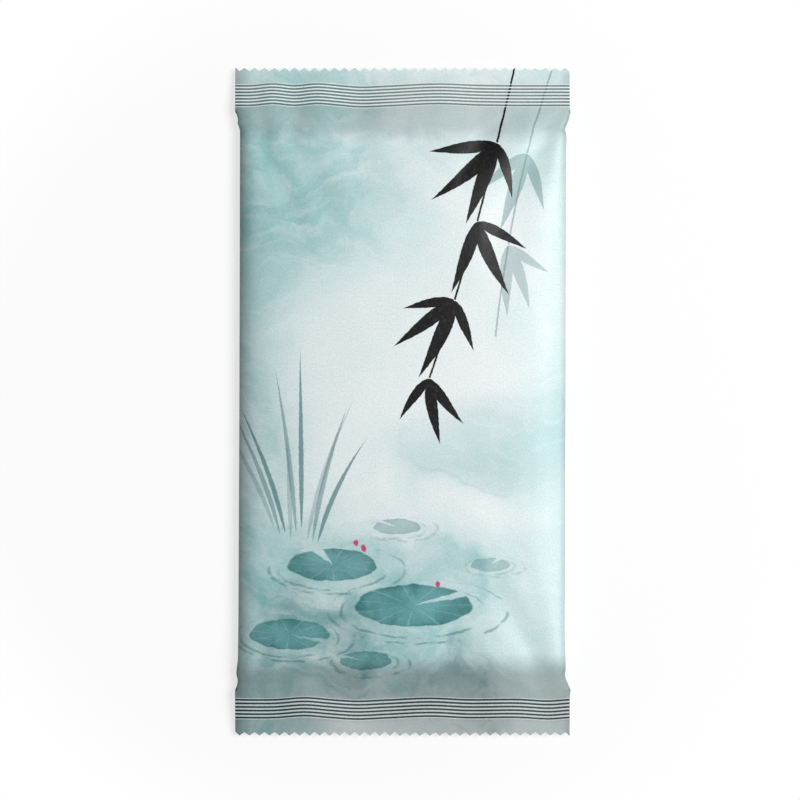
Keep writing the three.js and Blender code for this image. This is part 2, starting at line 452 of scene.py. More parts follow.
def flat_web():
    """Where each point lies on the flat web, with rows as far apart as along the middle of the front."""
    steps = np.linalg.norm(np.diff(folded[:, int(front.mean())], axis=0), axis=1)
    from_end = np.concatenate([[0], np.cumsum(steps)])
    flat = np.zeros_like(folded)
    flat[..., 0] = across
    flat[..., 1] = (from_end - from_end[-1] / 2)[:, None]
    return flat


def held_share():
    """How firmly the simulation holds each point: 1 is pinned, 0 is free."""
    x, z = folded[..., 0], folded[..., 2]
    held = np.zeros(x.shape)
    held[:, front[free_columns:-free_columns]] = front_hold
    back = np.isin(np.arange(len(across)), np.concatenate([left_back, right_back]))
    held[back & (abs(x) < resting_half_width) & (z < resting_height)] = 1
    held[:, np.concatenate([fin_outer, fin_inner])] = 1
    held[(along < -bottom_seal["inner"] + seal_margin) | (along > top_seal["inner"] - seal_margin)] = 1
    return held


# %% Run the simulation
def puffed():
    """The folded web after a few frames of cloth under pressure, in millimetres."""
    cloth = mesh_object("cloth", web_grid(folded * CLOTH_UNIT))
    cloth.shape_key_add(name="folded")
    flat_key = cloth.shape_key_add(name="flat")
    flat_key.data.foreach_set("co", (flat_web() * CLOTH_UNIT).ravel())
    flat_key.value = 0
    pins = cloth.vertex_groups.new(name="held")
    for index, share in enumerate(held_share().ravel()):
        pins.add([index], float(share), "REPLACE")
    modifier = cloth.modifiers.new("film", "CLOTH")
    modifier.collision_settings.use_collision = False
    modifier.point_cache.frame_start = 1
    modifier.point_cache.frame_end = cloth_frames
    settings = modifier.settings
    for name, value in film_cloth.items():
        setattr(settings, name, value)
    settings.vertex_group_mass = pins.name
    settings.rest_shape_key = flat_key
    settings.effector_weights.gravity = 0
    for moment in range(1, cloth_frames + 1):
        bpy.context.scene.frame_set(moment)
    result = cloth.evaluated_get(bpy.context.evaluated_depsgraph_get())
    places = np.zeros(folded.size, dtype=np.float32)
    result.data.vertices.foreach_get("co", places)
    bpy.context.scene.frame_set(1)
    mesh = cloth.data
    bpy.data.objects.remove(cloth)
    bpy.data.meshes.remove(mesh)
    return places.reshape(folded.shape) / CLOTH_UNIT


# %% [markdown]
# The pressure is only a guess, so its result is taken just as far as brings the crown to the packed
# solid's height. Each row then gets its old width back, because the wipe inside keeps the side folds
# apart, and what the pressure pushed below the table is set back on it.

# %% Take the creases over
result = puffed()
low_crown, high_crown = folded[..., 2].max(), result[..., 2].max()
taken = min(1, (crown_height - low_crown) / (high_crown - low_crown))
creased = folded + taken * (result - folded)
left_fold, right_fold = folded[..., 0].min(axis=1), folded[..., 0].max(axis=1)
left_now, right_now = creased[..., 0].min(axis=1), creased[..., 0].max(axis=1)
widening = (right_fold - left_fold) / (right_now - left_now)
creased[..., 0] = left_fold[:, None] + (creased[..., 0] - left_now[:, None]) * widening[:, None]
creased[..., 2] = np.maximum(creased[..., 2], 0)
folded = creased
print("share of the puff taken:", round(taken, 2))
print("creased web spans", np.round(np.ptp(folded, axis=(0, 1)), 2))

# %% [markdown]
# The smoothing that finishes the film draws every bend in by a quarter of its depth. On the side folds
# that would make the pack narrower than it measures, so they are set out by as much beforehand.

# %% Set the side folds out
for fold_column in front[[0, -1]]:
    beside = (folded[:, fold_column - 1] + folded[:, fold_column + 1]) / 2
    set_out = (folded[:, fold_column] - beside) / 3 * loose[:, None]
    folded[:, fold_column] += set_out
    print("side fold set out by up to", round(float(abs(set_out).max()), 2), "mm")

# %% [markdown]
# ## The film as a mesh
# Each face of the finished film keeps its place on the flat web as its UV map, in centimetres. A print
# that is projected from above would smear down the sides. On the flat web it runs round the side folds
# and over the creases just as it was printed.

# %% Fold the film
film_bm = web_grid(folded * MM)
web_place = np.stack(np.meshgrid(across, along), axis=-1).reshape(-1, 2)
uv_layer = film_bm.loops.layers.uv.new("film")
for face in film_bm.faces:
    for loop in face.loops:
        loop[uv_layer].uv = web_place[loop.vert.index] / MM_IN_CM
print("film faces:", len(film_bm.faces))

# %% [markdown]
# ## Closing the skin
# The fin's free edge and the two cut ends show how thick the film is. Each is bridged with narrow faces,
# and their edges are creased, so that the smoothing keeps the teeth as sharp as the knife left them.

# %% Close the fin's edge and the cut ends
crease = film_bm.edges.layers.float.new("crease_edge")


def edges_between(row, columns):
    """Edges of one row of the web, between neighbouring columns."""
    verts = [film_bm.verts[row * len(across) + c] for c in columns]
    return [film_bm.edges.get(pair) for pair in zip(verts, verts[1:])]


def edges_along(c):
    verts = [film_bm.verts[row * len(across) + c] for row in range(len(along))]
    return [film_bm.edges.get(pair) for pair in zip(verts, verts[1:])]


closing = bmesh.ops.bridge_loops(film_bm, edges=edges_along(0) + edges_along(columns_count))["faces"]
front_left, front_right = front[: left_columns + 1], front[left_columns:]
facing = [(left_back[:-1], front_left[1:]), (front_right[:-1], right_back[1:]), (fin_outer, fin_inner)]
for row in (0, rows_count):
    for one, other in facing:
        pair = edges_between(row, one) + edges_between(row, other)
        closing += bmesh.ops.bridge_loops(film_bm, edges=pair)["faces"]
open_edges = [edge for edge in film_bm.edges if edge.is_boundary]
closing += bmesh.ops.holes_fill(film_bm, edges=open_edges, sides=3)["faces"]
for face in closing:
    for edge in face.edges:
        edge[crease] = 1.0
        edge.smooth = False
    for loop in face.loops:
        loop[uv_layer].uv = loop.vert.co.xy / MM / MM_IN_CM
bmesh.ops.recalc_face_normals(film_bm, faces=film_bm.faces)
print("closing faces:", len(closing), "open edges left:", sum(edge.is_boundary for edge in film_bm.edges))

# %% [markdown]
# In the seals the side folds are pressed sharp, and they open into a soft roll where the tube opens. A
# bevel would have to end somewhere, but a crease value that fades with the opening says the same to the
# smoothing.

# %% Press the side folds
for fold_column in front[[0, -1]]:
    for looseness, edge in zip((loose[:-1] + loose[1:]) / 2, edges_along(fold_column)):
        edge[crease] = max(edge[crease], 1 - looseness)
        edge.smooth = bool(looseness > 0.5)
print("rows with sharp side folds:", int((loose <= 0.5).sum()))

# %% [markdown]
# The grid is fine enough for the simulation, but not for a close look. One level of subdivision rounds
# it, and the creases given above keep the cut edges sharp.

# %% Make the film object
film = mesh_object("film_wrapper", film_bm)
film.data.polygons.foreach_set("use_smooth", [True] * len(film.data.polygons))
rounding = film.modifiers.new("rounding", "SUBSURF")
rounding.levels = rounding.render_levels = 1
rounding.use_limit_surface = False
print("film object:", film.name, "with", len(film.data.vertices), "points before rounding")

# %% [markdown]
# ## Printing the film
# The print is a plain water-garden design in pale teals: thin washes, floating round leaves with ripples,
# and a spray of bamboo in ink. It could be a painted picture on the film, but a picture blurs close up.
# Here every shape is a small formula on the flat web, made once as a node group and used again with other
# numbers, so the print is as sharp at any distance. All its places and lengths are in centimetres, as the
# UV map is.

# %% Node helpers


def add_node(tree, kind, inputs=None, **settings):
    """Adds a node, makes its settings, and gives its inputs a number, a vector, a colour or a link."""
    node = tree.nodes.new(kind)
    for name, value in settings.items():
        setattr(node, name, value)
    for socket, value in (inputs or {}).items():
        if isinstance(value, bpy.types.NodeSocket):
            tree.links.new(value, node.inputs[socket])
        else:
            node.inputs[socket].default_value = value
    return node


def calc(tree, operation, *values, clamp=False):
    """Maths on one to three numbers or links."""
    settings = {"operation": operation, "use_clamp": clamp}
    return add_node(tree, "ShaderNodeMath", dict(enumerate(values)), **settings).outputs[0]


def times(tree, one, other):
    return calc(tree, "MULTIPLY", one, other)


def vector(tree, operation, *values):
    """Vector maths. A length or a dot product comes out as a number."""
    node = add_node(tree, "ShaderNodeVectorMath", dict(enumerate(values)), operation=operation)
    return node.outputs["Value" if operation in ("LENGTH", "DOT_PRODUCT") else "Vector"]


def fade(tree, value, start, end):
    """0 where the value is at start, 1 where it is at end, and a smooth step between."""
    limits = {"Value": value, "From Min": start, "From Max": end}
    return add_node(tree, "ShaderNodeMapRange", limits, interpolation_type="SMOOTHSTEP").outputs["Result"]


def joined(tree, x, y, z=0.0):
    """A vector from three numbers or links."""
    return add_node(tree, "ShaderNodeCombineXYZ", {"X": x, "Y": y, "Z": z}).outputs[0]


# %% Shape groups
def shape_group(name, numbers, outputs=("Cover",)):
    """A node group that draws one shape at the point At. Returns its tree and the sockets it is given."""
    tree = bpy.data.node_groups.new(name, "ShaderNodeTree")
    for label in ("Place", "At"):
        tree.interface.new_socket(label, in_out="INPUT", socket_type="NodeSocketVector")
    for label in numbers:
        tree.interface.new_socket(label, in_out="INPUT", socket_type="NodeSocketFloat")
    for label in outputs:
        tree.interface.new_socket(label, in_out="OUTPUT", socket_type="NodeSocketFloat")
    return tree, tree.nodes.new("NodeGroupInput").outputs


def finish_group(tree, **results):
    add_node(tree, "NodeGroupOutput", results)
    print("node group", tree.name, "with", len(tree.nodes), "nodes")


# %% [markdown]
# ### One bamboo leaf
# A brush leaf is pressed down near the stalk and lifted off at the tip, so it is widest a third of the
# way along and ends in a long point. The half width is a sine of the share of the length, bent by a
# power.

# %% Leaf
leaf_shape, given = shape_group("leaf_shape", ("Angle", "Length", "Width", "Bend"))
widest_power = 0.65
brush_edge = 0.012


def along_shape(tree, given):
    """The reach of a place along a shape, its share of the length, and how far off the bent line it is."""
    place = vector(tree, "SUBTRACT", given["Place"], given["At"])
    cosine, sine = calc(tree, "COSINE", given["Angle"]), calc(tree, "SINE", given["Angle"])
    ahead = joined(tree, cosine, sine)
    aside = joined(tree, times(tree, sine, -1), cosine)
    reach = vector(tree, "DOT_PRODUCT", place, ahead)
    share = calc(tree, "DIVIDE", reach, given["Length"], clamp=True)
    sag = times(tree, given["Bend"], times(tree, share, share))
    off_line = calc(tree, "SUBTRACT", vector(tree, "DOT_PRODUCT", place, aside), sag)
    return reach, share, calc(tree, "ABSOLUTE", off_line)


_, share, off_middle = along_shape(leaf_shape, given)
half_turn = times(leaf_shape, calc(leaf_shape, "POWER", share, widest_power), math.pi)
swell = calc(leaf_shape, "SINE", half_turn)
half_width = times(leaf_shape, swell, calc(leaf_shape, "DIVIDE", given["Width"], 2))
inside = calc(leaf_shape, "SUBTRACT", half_width, off_middle)
finish_group(leaf_shape, Cover=fade(leaf_shape, inside, 0, brush_edge))

# %% [markdown]
# ### A stalk
# A bamboo stalk is an even line with a small gap at each joint, where the brush is lifted. Separate
# pieces of line would need a place each. Here the reach along one line is folded back and forth between
# the joints, so one fade cuts all the gaps.

# %% Stalk
stalk_shape, given = shape_group("stalk_shape", ("Angle", "Length", "Width", "Bend", "Joints"))
joint_gap = (0.008, 0.025)
reach, share, off_middle = along_shape(stalk_shape, given)
inside = calc(stalk_shape, "SUBTRACT", calc(stalk_shape, "DIVIDE", given["Width"], 2), off_middle)
between_joints = calc(stalk_shape, "PINGPONG", reach, calc(stalk_shape, "DIVIDE", given["Joints"], 2))
gapped = fade(stalk_shape, between_joints, *joint_gap)
started = fade(stalk_shape, reach, 0, brush_edge)
ended = fade(stalk_shape, calc(stalk_shape, "SUBTRACT", given["Length"], reach), 0, brush_edge)
stroke = times(stalk_shape, fade(stalk_shape, inside, 0, brush_edge), gapped)
between_ends = times(stalk_shape, started, ended)
finish_group(stalk_shape, Cover=times(stalk_shape, stroke, between_ends))

# %% [markdown]
# ### Ovals: washes, floating leaves and ripples
# The other three shapes are ovals. A wash only needs how far out a place is, where 1 is the oval's edge.
# A floating leaf is seen at a slant, so it is a flattened disc with a notch and fine veins, darker
# towards the rim, where watercolour dries last. A ripple is the thin edge of an oval, heavier in front
# than behind.

# %% Ovals


def parts_of(tree, place):
    return add_node(tree, "ShaderNodeSeparateXYZ", {0: place}).outputs


def oval(tree, given, half_width, half_height):
    """How far out a place is, 1 at the edge, and its shares of the half width and of the half height."""
    size = joined(tree, half_width, half_height, 1.0)
    shares = vector(tree, "DIVIDE", vector(tree, "SUBTRACT", given["Place"], given["At"]), size)
    split = parts_of(tree, shares)
    return vector(tree, "LENGTH", shares), split["X"], split["Y"]


def off_edge(tree, out):
    """How far a place is from the oval's edge, outside or inside."""
    return calc(tree, "ABSOLUTE", calc(tree, "SUBTRACT", out, 1))


# %% Wash
wash_shape, given = shape_group("wash_shape", ("Across", "Along", "Softness"), ("Cover", "Rim"))
rim_width = 0.09
out, _, _ = oval(wash_shape, given, given["Across"], given["Along"])
soft_start = calc(wash_shape, "ADD", 1, given["Softness"])
soft_end = calc(wash_shape, "SUBTRACT", 1, given["Softness"])
rim = fade(wash_shape, off_edge(wash_shape, out), rim_width, 0)
finish_group(wash_shape, Cover=fade(wash_shape, out, soft_start, soft_end), Rim=rim)

# %% Floating leaf
pad_shape, given = shape_group("pad_shape", ("Radius", "Squash", "Notch"), ("Cover", "Tone"))
notch_sides = (0.1, 0.17)
rim_waves, wave_height = 7, 0.02
pad_edge = (1, 0.95)
veins_a_turn, vein_sides, vein_start = 11, (0.22, 0.05), (0.1, 0.3)
middle_tone, rim_tone, vein_tone = 0.5, 0.45, -0.35
flattened = times(pad_shape, given["Radius"], given["Squash"])
out, x_share, y_share = oval(pad_shape, given, given["Radius"], flattened)
direction = calc(pad_shape, "ARCTAN2", y_share, x_share)
turned = calc(pad_shape, "SUBTRACT", direction, given["Notch"])
from_notch = calc(pad_shape, "WRAP", turned, math.pi, -math.pi)
notch = fade(pad_shape, calc(pad_shape, "ABSOLUTE", from_notch), *notch_sides)
wave = calc(pad_shape, "SINE", times(pad_shape, direction, rim_waves))
wavy = calc(pad_shape, "MULTIPLY_ADD", wave, wave_height, out)
cover = times(pad_shape, fade(pad_shape, wavy, *pad_edge), notch)
vein_wave = calc(pad_shape, "SINE", times(pad_shape, from_notch, veins_a_turn / 2))
vein_line = fade(pad_shape, calc(pad_shape, "ABSOLUTE", vein_wave), *vein_sides)
vein = times(pad_shape, vein_line, fade(pad_shape, out, *vein_start))
pooled = calc(pad_shape, "MULTIPLY_ADD", calc(pad_shape, "POWER", out, 3), rim_tone, middle_tone)
tone = calc(pad_shape, "MULTIPLY_ADD", vein, vein_tone, pooled)
finish_group(pad_shape, Cover=cover, Tone=tone)

# %% Ripple
ripple_shape, given = shape_group("ripple_shape", ("Radius", "Squash", "Width"))
ripple_edge = 0.008
mean_weight, front_weight = 0.6, -0.5
flattened = times(ripple_shape, given["Radius"], given["Squash"])
out, _, y_share = oval(ripple_shape, given, given["Radius"], flattened)
off_line = times(ripple_shape, off_edge(ripple_shape, out), flattened)
upward = calc(ripple_shape, "DIVIDE", y_share, out)
weight = calc(ripple_shape, "MULTIPLY_ADD", upward, front_weight, mean_weight)
inside = calc(ripple_shape, "SUBTRACT", times(ripple_shape, given["Width"], weight), off_line)
finish_group(ripple_shape, Cover=fade(ripple_shape, inside, -ripple_edge, ripple_edge))

# %% [markdown]
# ### The colours and where everything goes
# The colours are written as they look on the pack. The washes are laid down one over another, in the
# order of the list, and each is (colour, middle, half width, half height, softness, strength, dried rim).

# %% Print colours and layout
PAPER = (0.84, 0.89, 0.90, 1)
ICE = (0.57, 0.765, 0.77, 1)
TEAL = (0.19, 0.47, 0.475, 1)
DEEP_TEAL = (0.04, 0.18, 0.19, 1)
INK = (0.003, 0.003, 0.004, 1)
ROSE = (0.52, 0.08, 0.20, 1)

washes = [
    (ICE, (-2.3, 3.4), 2.6, 3.4, 0.5, 0.9, 0.0),
    (ICE, (1.6, -4.6), 2.6, 1.8, 0.5, 0.8, 0.0),
    (TEAL, (-3.1, 4.5), 2.2, 2.0, 0.6, 0.75, 0.1),
    (TEAL, (-3.6, -0.5), 1.3, 3.6, 0.7, 0.6, 0.0),
    (TEAL, (2.2, -0.9), 2.0, 0.9, 0.5, 0.5, 0.2),
    (TEAL, (-1.3, -4.1), 2.9, 1.8, 0.5, 0.75, 0.25),
    (DEEP_TEAL, (-2.0, -4.9), 1.5, 0.85, 0.6, 0.55, 0.0),
    (TEAL, (2.4, 5.8), 2.3, 1.0, 0.6, 0.3, 0.1),
    (TEAL, (-1.6, 6.7), 1.4, 0.5, 0.6, 0.6, 0.0),
    (ICE, (3.4, 1.0), 1.1, 6.0, 0.7, 0.6, 0.0),
    (TEAL, (-3.0, -6.5), 1.5, 0.9, 0.6, 0.75, 0.1),
    (DEEP_TEAL, (1.1, -6.0), 1.0, 0.8, 0.6, 0.5, 0.1),
    (PAPER, (0.0, 0.9), 2.5, 2.0, 0.5, 0.85, 0.0),
    (PAPER, (0.9, -2.3), 2.2, 0.5, 0.5, 0.6, 0.0),
]
print(len(washes), "washes")

# %% [markdown]
# The film has one material, since it is one printed sheet. The Principled shader stands for the whole
# stack of print, film and matte lacquer. What has to look painted by hand is drawn at a place that noise
# has pushed about, which frays its edge.

# %% Film material


def new_finish(name, thing):
    """Gives the object a material and returns its nodes."""
    finish = bpy.data.materials.new(name)
    finish.use_nodes = True
    thing.data.materials.append(finish)
    return finish.node_tree


tree = new_finish("printed_film", film)
shader = tree.nodes["Principled BSDF"]
flat_place = add_node(tree, "ShaderNodeUVMap", uv_map="film").outputs["UV"]
print("material", film.data.materials[0].name, "on", film.name)


# %% Helpers for the print
def noise(tree, place, scale, detail, output="Fac"):
    inputs = {"Vector": place, "Scale": scale, "Detail": detail}
    return add_node(tree, "ShaderNodeTexNoise", inputs).outputs[output]


def warped(place, scale, detail, distance):
    """The place pushed about by noise."""
    push = vector(tree, "SUBTRACT", noise(tree, place, scale, detail, "Color"), (0.5, 0.5, 0.5))
    return vector(tree, "MULTIPLY_ADD", push, (distance, distance, 0), place)


def layer(tree, under, over, cover, blend="MIX"):
    """One colour laid over another, as far as cover says."""
    inputs = {0: cover, 6: under, 7: over}
    return add_node(tree, "ShaderNodeMix", inputs, data_type="RGBA", blend_type=blend).outputs[2]


def draw(shape, **numbers):
    """One shape group, set with its own numbers."""
    return add_node(tree, "ShaderNodeGroup", numbers, node_tree=shape).outputs


# %% Paper tone and washes
wet_place = warped(warped(flat_place, 0.5, 3, 2.2), 3.5, 4, 0.3)
mottle = fade(tree, noise(tree, flat_place, 0.45, 5), 0.35, 0.75)
print_colour = layer(tree, PAPER, ICE, times(tree, mottle, 0.65))
clouding = fade(tree, noise(tree, wet_place, 1.6, 5), 0.2, 0.75)
granules = noise(tree, flat_place, 11, 5)
pigment = calc(tree, "MULTIPLY_ADD", granules, 0.7, calc(tree, "SUBTRACT", clouding, 0.35), clamp=True)
for colour, (x, y), across_size, along_size, softness, strength, edge in washes:
    numbers = {"At": (x, y, 0), "Across": across_size, "Along": along_size, "Softness": softness}
    oval_wash = draw(wash_shape, Place=wet_place, **numbers)
    even = times(tree, oval_wash["Cover"], strength)
    cover = times(tree, even, calc(tree, "MULTIPLY_ADD", pigment, 0.5, 0.5))
    if edge:
        dried = times(tree, oval_wash["Rim"], times(tree, pigment, edge))
        cover = calc(tree, "ADD", cover, dried, clamp=True)
    print_colour = layer(tree, print_colour, colour, cover)
print("nodes after the washes:", len(tree.nodes))

# %% [markdown]
# Over the washes lie pale level strokes, as a wide damp brush leaves them. Lines drawn one by one would
# look ruled, so they are one noise, stretched across the pack. They only show where there is pigment to
# lift.

# %% Level strokes
stroke_stretch = (0.55, 4.5, 1.0)
stroke_strength = 0.22
stretched = vector(tree, "MULTIPLY", wet_place, stroke_stretch)
strokes = fade(tree, noise(tree, stretched, 1.1, 3), 0.5, 0.72)
print_colour = layer(tree, print_colour, PAPER, times(tree, strokes, stroke_strength))
print("nodes after the strokes:", len(tree.nodes))

# %% [markdown]
# The floating leaves lie on the lower wash, each with its ripples, and three small buds. Each leaf is
# (middle, radius, height over width, direction of the notch in radians, strength). The ripples could be
# whole rings, but on still water they break up, so a noise fades them in and out.

# %% Floating leaves and ripples
pads = [
    ((-1.45, -3.4), 0.95, 0.36, 1.9, 0.9),
    ((0.25, -4.25), 1.25, 0.36, 0.6, 0.97),
    ((-2.35, -4.85), 0.85, 0.38, -0.5, 0.9),
    ((-0.1, -2.6), 0.5, 0.34, 2.4, 0.5),
    ((1.85, -3.4), 0.42, 0.34, 1.1, 0.45),
    ((-0.75, -5.4), 0.55, 0.36, 2.7, 0.8),
]
buds = [(-0.95, -2.95), (-0.8, -3.05), (0.75, -3.8)]
bud_size = {"Across": 0.05, "Along": 0.07, "Softness": 0.3}
ring_sizes = (1.22, 1.5)
ring_drift = 0.1
ring_line = 0.02
ring_strength = 0.55
water_place = warped(flat_place, 5, 4, 0.09)
for (x, y), radius, squash, notch_angle, strength in pads:
    for ring, spreading in enumerate(ring_sizes):
        lower = (x + ring_drift * ring, y - ring_drift * radius, 0)
        numbers = {"Radius": radius * spreading, "Squash": squash, "Width": ring_line}
        ripple = draw(ripple_shape, Place=water_place, At=lower, **numbers)
        breaks = fade(tree, noise(tree, flat_place, 2.2 + ring, 2), 0.42, 0.6)
        broken = times(tree, ripple["Cover"], breaks)
        cover = times(tree, broken, ring_strength * strength)
        print_colour = layer(tree, print_colour, DEEP_TEAL, cover)
    pad = draw(pad_shape, Place=water_place, At=(x, y, 0), Radius=radius, Squash=squash, Notch=notch_angle)
    tone = calc(tree, "MULTIPLY_ADD", pigment, 0.5, calc(tree, "SUBTRACT", pad["Tone"], 0.3), clamp=True)
    leaf_colour = layer(tree, TEAL, DEEP_TEAL, tone)
    print_colour = layer(tree, print_colour, leaf_colour, times(tree, pad["Cover"], strength))
for x, y in buds:
    bud = draw(wash_shape, Place=water_place, At=(x, y, 0), **bud_size)
    print_colour = layer(tree, print_colour, ROSE, bud["Cover"])
print(len(pads), "floating leaves and", len(buds), "buds")

# %% [markdown]
# The bamboo hangs in from the upper right and a tuft of reeds stands at the left. Leaves grow in fans
# from the joints of a stalk and droop. Placing each by hand would take a long list, so a fan is a loop
# over angles, and its small differences are drawn from a fixed seed. The far fans and the reeds are thin
# teal washes and the near fans are ink. A fan is (colour, strength, stalk, joint, heading, leaves,
# spread, length), with its heading and spread in degrees.

# %% Bamboo and reeds
ink_place = warped(flat_place, 12, 3, 0.03)
brush = random.Random(11)
dry_brush = fade(tree, granules, 0.3, 0.5)
dry_share = 0.02
reed_lean = 34
reed_foot = 0.9
reed_width = 0.11
reed_bend = 0.015


def stroke_over(colour, cover, strength):
    """The print with one brush stroke laid over it, a little thinner where the brush was dry."""
    ink = calc(tree, "MULTIPLY_ADD", dry_brush, dry_share * strength, (1 - dry_share) * strength)
    return layer(tree, print_colour, colour, times(tree, cover, ink))


def fan(at, heading, count, spread_angle, length):
    """The numbers of each leaf in one fan, longest in the middle."""
    for leaf in range(count):
        turn = spread_angle * (leaf / (count - 1) - 0.5) + brush.uniform(-8, 8)
        size = length * brush.uniform(0.8, 1.15) * (1 - 0.45 * abs(turn) / spread_angle)
        width = 0.15 * size + 0.05
        bend = brush.uniform(-0.16, 0.16) * size
        yield dict(At=at, Angle=math.radians(heading + turn), Length=size, Width=width, Bend=bend)


def reeds(x, y, count):
    """The numbers of each blade in a tuft that grows up from about x and y."""
    for blade in range(count):
        off_centre = blade / (count - 1) - 0.5
        lean = reed_lean * off_centre + brush.uniform(-5, 5)
        size = brush.uniform(2.0, 4.0)
        root = (x + reed_foot * off_centre, y + brush.uniform(-0.15, 0.15), 0)
        bend = -reed_bend * lean * size
        yield dict(At=root, Angle=math.radians(90 - lean), Length=size, Width=reed_width, Bend=bend)


def at_joint(stalk, joint):
    """The place of one joint of a stalk, counted from its root."""
    reach = joint * stalk["Joints"]
    sag = stalk["Bend"] * (reach / stalk["Length"]) ** 2
    along_x, along_y = math.cos(stalk["Angle"]), math.sin(stalk["Angle"])
    root_x, root_y, _ = stalk["At"]
    return root_x + reach * along_x - sag * along_y, root_y + reach * along_y + sag * along_x, 0


# %% Paint the bamboo and reeds
far_stalk = dict(At=(3.15, 7.05, 0), Angle=math.radians(252), Length=5.8, Width=0.05, Bend=0.6)
far_stalk["Joints"] = 1.95
near_stalk = dict(At=(2.35, 7.05, 0), Angle=math.radians(258), Length=6.9, Width=0.055, Bend=-0.4)
near_stalk["Joints"] = 1.7
stalks = [(DEEP_TEAL, 0.5, far_stalk), (INK, 1.0, near_stalk)]
fans = [
    (DEEP_TEAL, 0.5, far_stalk, 1, 250, 3, 75, 1.7),
    (DEEP_TEAL, 0.42, far_stalk, 2, 290, 3, 70, 1.6),
    (INK, 1.0, near_stalk, 1, 238, 4, 95, 1.75),
    (INK, 1.0, near_stalk, 2, 292, 3, 80, 1.9),
    (INK, 1.0, near_stalk, 3, 240, 4, 100, 1.8),
    (INK, 1.0, near_stalk, 4, 268, 3, 75, 1.6),
]
for index, numbers in enumerate(reeds(-2.2, -2.8, 9)):
    blade = draw(leaf_shape, Place=ink_place, **numbers)["Cover"]
    print_colour = stroke_over(DEEP_TEAL, blade, 0.35 + 0.2 * (index % 3))
for colour, strength, numbers in stalks:
    print_colour = stroke_over(colour, draw(stalk_shape, Place=ink_place, **numbers)["Cover"], strength)
for colour, strength, stalk, joint, heading, count, spread_angle, length in fans:
    cover = 0.0
    for numbers in fan(at_joint(stalk, joint), heading, count, spread_angle, length):
        cover = calc(tree, "MAXIMUM", cover, draw(leaf_shape, Place=ink_place, **numbers)["Cover"])
    print_colour = stroke_over(colour, cover, strength)
print("bamboo:", len(stalks), "stalks and", sum(fan_row[5] for fan_row in fans), "leaves")

# %% [markdown]
# ### Painted shade and highlights on the film
# Painted shade darkens the print softly towards both ends and along the two side folds, more along the
# left fold, which faces away from the lamp. The crimp lines get painted shade in their grooves and a
# painted highlight on their ridges, since light on the grooves alone shows them too faintly. They are
# drawn on the flat web, at the very places where the rows of the mesh are pressed in, so that colour and
# form stay together. A painted fold shade is (side, reach in centimetres, strength).

# %% Painted shade along the side folds
web = parts_of(tree, flat_place)
# Painted shade: a grey multiplied over the print towards the side folds, wider and stronger on the left.
PAINTED_SHADE_COLOUR = (0.52, 0.52, 0.515, 1)
painted_fold_shades = [(-1, 0.5, 0.85), (1, 0.22, 0.6)]
for side, shade_reach, painted_shade in painted_fold_shades:
    fold_place = side * tube_width / 2 / MM_IN_CM
    from_fold = calc(tree, "ABSOLUTE", calc(tree, "SUBTRACT", web["X"], fold_place))
    beside = times(tree, fade(tree, from_fold, shade_reach, 0), painted_shade)
    print_colour = layer(tree, print_colour, PAINTED_SHADE_COLOUR, beside, "MULTIPLY")
print("side folds", round(tube_width / 2 / MM_IN_CM, 2), "cm from the middle of the front")

# %% Crimp lines with painted shade and painted highlights
# Painted shade for the crimp grooves and painted highlight for their ridges.
PAINTED_GROOVE_SHADE = (0.115, 0.13, 0.135, 1)
PAINTED_RIDGE_HIGHLIGHT = (0.82, 0.88, 0.88, 1)
fraying = 0.14
seal_blur = 0.03
for seal in seals:
    first, pitch = seal["inner"] / MM_IN_CM, seal["pitch"] / MM_IN_CM
    outward = calc(tree, "MULTIPLY_ADD", web["Y"], seal["end"], -first)
    wave = calc(tree, "COSINE", times(tree, outward, 2 * math.pi / pitch))
    band_start, band_end, blur = -0.5 * pitch, (seal["grooves"] - 0.5) * pitch, 0.1 * pitch
    begun = fade(tree, outward, band_start - blur, band_start + blur)
    band = times(tree, begun, fade(tree, outward, band_end + blur, band_end - blur))
    # Strengths of this seal's painted shade in the grooves and painted highlight on the ridges.
    groove_shade_strength, ridge_highlight_strength = seal["lines"]
    ridge = times(tree, band, fade(tree, wave, 0.1, -0.7))
    groove = times(tree, band, fade(tree, wave, -0.2, 0.5))
    # Painted shade beside each seal, frayed a little, and at the bottom reaching into the seal, which
    # turns away from the lamp.
    shade_reach, painted_shade, seal_shade = seal["painted_shade"]
    frayed = calc(tree, "MULTIPLY_ADD", clouding, fraying, calc(tree, "SUBTRACT", outward, fraying / 2))
    beside = fade(tree, frayed, -shade_reach, -shade_reach / 2)
    in_seal = fade(tree, outward, -seal_blur, seal_blur)
    painted_shade_cover = times(tree, beside, calc(tree, "MULTIPLY_ADD", in_seal, seal_shade - painted_shade, painted_shade))
    # The painted shade beside the seal goes on first, then the painted highlight on the ridges and the
    # painted shade in the grooves.
    painted_highlight = times(tree, ridge, ridge_highlight_strength)
    groove_painted_shade = times(tree, groove, groove_shade_strength)
    print_colour = layer(tree, print_colour, PAINTED_SHADE_COLOUR, painted_shade_cover, "MULTIPLY")
    print_colour = layer(tree, print_colour, PAINTED_RIDGE_HIGHLIGHT, painted_highlight)
    print_colour = layer(tree, print_colour, PAINTED_GROOVE_SHADE, groove_painted_shade, "MULTIPLY")
    print(seal["grooves"], "crimp lines outwards from", round(seal["end"] * first, 3), "cm")

# %% [markdown]
# ### Grain, sheen and small dents
# The film is matte on the outside. Up close it has a fine grain, and over a few millimetres it is never
# quite flat, and the fin's two plies are knurled by their welding wheels. As mesh, these would take
# millions of faces. All three are far smaller than any fold, so they are bump. Their heights are in
# millimetres.

